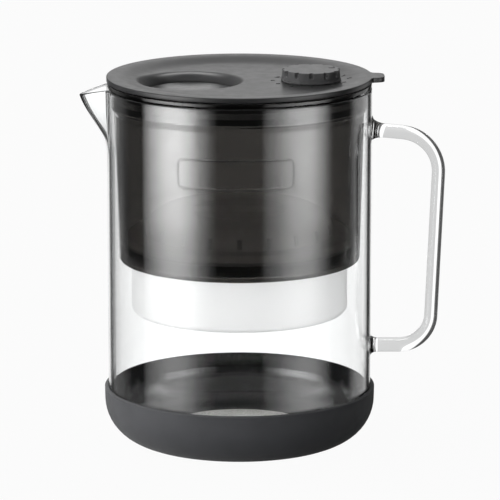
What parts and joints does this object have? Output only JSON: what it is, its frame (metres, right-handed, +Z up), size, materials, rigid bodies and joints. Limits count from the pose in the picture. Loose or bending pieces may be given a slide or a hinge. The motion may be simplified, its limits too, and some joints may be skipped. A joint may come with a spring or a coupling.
{
  "type": "water filter pitcher",
  "caption": "Glass pitcher with a silicone foot, a lift-out smoke hopper, a drop-in filter cartridge and a lid with a sprung fill flap and a reminder dial.",
  "frame": {"origin": "on the table under the jug's axis, at the middle of the boot's flat base", "axes": "+Z up along the jug's axis, +X towards the handle, the spout points to -X"},
  "size_m": [0.1841, 0.136, 0.1898],
  "materials": {
    "clear_glass": "clear polished borosilicate glass",
    "boot_silicone": "matt moulded silicone",
    "smoke_plastic": "glossy smoke-tinted clear plastic",
    "white_plastic": "satin white moulded plastic",
    "seal_silicone": "soft grey silicone",
    "screen_mesh": "fine woven mesh",
    "resin_beads": "packed amber beads",
    "carbon_granules": "packed black granules",
    "fibre_felt": "white fibre felt",
    "lid_plastic": "matt black fine-textured plastic",
    "flap_plastic": "glossy black plastic",
    "pointer_plastic": "grey inlay",
    "steel": "bright stainless steel"
  },
  "bodies": {
    "jug": {"glass_jug": "clear_glass", "glass_handle": "clear_glass", "silicone_boot": "boot_silicone"},
    "hopper": {"hopper_tank": "smoke_plastic"},
    "cartridge": {"cartridge_shell": "white_plastic", "cartridge_cap": "white_plastic", "cartridge_seal": "seal_silicone", "outlet_screen": "screen_mesh", "resin_media": "resin_beads", "carbon_media": "carbon_granules", "fibre_pad": "fibre_felt", "inlet_screen": "screen_mesh"},
    "lid": {"lid_top": "lid_plastic", "lid_liner": "lid_plastic", "lid_gasket": "seal_silicone", "flap_pin": "steel", "flap_spring": "steel", "dial_detent_leaf": "steel"},
    "flap": {"fill_flap": "flap_plastic", "flap_seal": "seal_silicone"},
    "dial": {"dial_knob": "lid_plastic", "dial_pointer": "pointer_plastic", "dial_retainer": "white_plastic", "dial_screw": "steel"}
  },
  "joints": [
    {"name": "hopper_lift", "type": "slide", "parent": "jug", "child": "hopper", "axis": [0, 0, 1], "range_m": [0, 0.12]},
    {"name": "cartridge_lift", "type": "slide", "parent": "hopper", "child": "cartridge", "axis": [0, 0, 1], "range_m": [0, 0.012]},
    {"name": "lid_lift", "type": "slide", "parent": "hopper", "child": "lid", "axis": [0, 0, 1], "range_m": [0, 0.06]},
    {"name": "flap_swing", "type": "hinge", "parent": "lid", "child": "flap", "pos_m": [0.0017, 0, 0.17495], "axis": [0, -1, 0], "range_deg": [0, 60], "stiffness_Nm_per_rad": 0.004, "springref_deg": -51.57, "deforming": ["flap_spring"]},
    {"name": "dial_turn", "type": "hinge", "parent": "lid", "child": "dial", "pos_m": [0.0356, 0, 0.18335], "axis": [0, 0, 1], "continuous": true}
  ]
}
